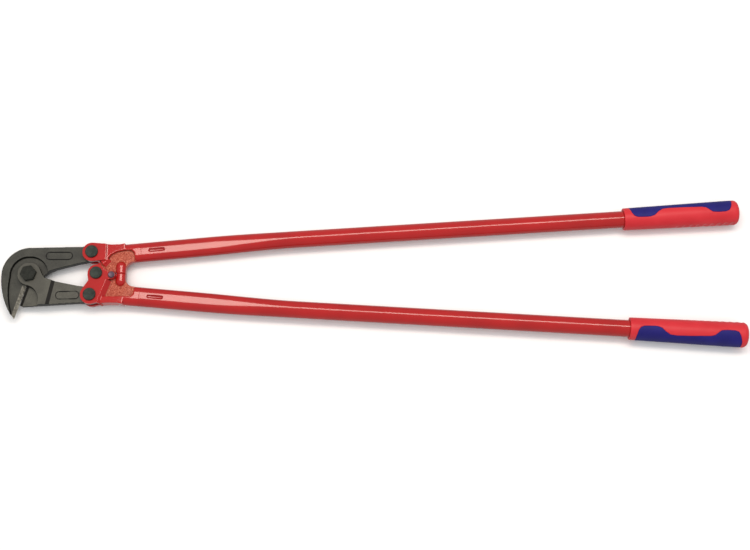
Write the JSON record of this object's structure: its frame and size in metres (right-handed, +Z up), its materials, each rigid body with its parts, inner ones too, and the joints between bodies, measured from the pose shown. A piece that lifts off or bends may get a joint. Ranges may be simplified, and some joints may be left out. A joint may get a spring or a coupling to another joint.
{
  "type": "rebar cutter",
  "caption": "Two-handed mesh and rebar cutter with lapped hook and blade jaws, forged yokes, tube handles and two-colour grips.",
  "frame": {"origin": "foot of the jaw pivot's axis on the surface that the tool lies on, which is the jaw pivot nut's outer face", "axes": "+X along the tool from the jaw pivot to the grips, +Y towards the handle that carries the hook jaw, +Z up out of the surface, along the pivots' axes"},
  "size_m": [0.95, 0.1942, 0.032],
  "materials": {
    "jaw_steel": "satin",
    "bolt_steel": "satin",
    "zinc_steel": "satin",
    "red_coat": "gloss",
    "red_grip": "satin",
    "blue_grip": "matte"
  },
  "bodies": {
    "lower_handle": {"lower_yoke": "red_coat", "lower_tube": "red_coat", "lower_grip": "red_grip", "lower_grip_inlay": "blue_grip", "eccentric_bolt": "bolt_steel", "adjusting_disc": "zinc_steel", "eccentric_nut": "bolt_steel", "lock_screw": "zinc_steel", "lock_plate": "zinc_steel", "lock_nut": "zinc_steel", "lower_jaw_bolt": "bolt_steel", "lower_jaw_nut": "bolt_steel"},
    "upper_handle": {"upper_yoke": "red_coat", "upper_tube": "red_coat", "upper_grip": "red_grip", "upper_grip_inlay": "blue_grip", "upper_jaw_bolt": "bolt_steel", "upper_jaw_nut": "bolt_steel"},
    "lower_jaw": {"lower_jaw": "jaw_steel", "jaw_pivot_bolt": "bolt_steel", "jaw_pivot_washer": "zinc_steel", "jaw_pivot_nut": "bolt_steel"},
    "upper_jaw": {"upper_jaw": "jaw_steel"}
  },
  "joints": [
    {"name": "handle_pivot", "type": "hinge", "parent": "lower_handle", "child": "upper_handle", "pos_m": [0.086, 0, 0.016], "axis": [0, 0, 1], "range_deg": [0, 90]},
    {"name": "lower_jaw_pivot", "type": "hinge", "parent": "lower_handle", "child": "lower_jaw", "pos_m": [0.0797, -0.0281, 0.016], "axis": [0, 0, 1], "range_deg": [0, 53.2]},
    {"name": "jaw_pivot", "type": "hinge", "parent": "lower_jaw", "child": "upper_jaw", "pos_m": [0, 0, 0.016], "axis": [0, 0, 1], "range_deg": [-16.3, 0]}
  ],
  "couplings": [
    {"joint": "lower_jaw_pivot", "follows": "handle_pivot", "ratio": 0.59},
    {"joint": "jaw_pivot", "follows": "handle_pivot", "ratio": -0.18}
  ]
}
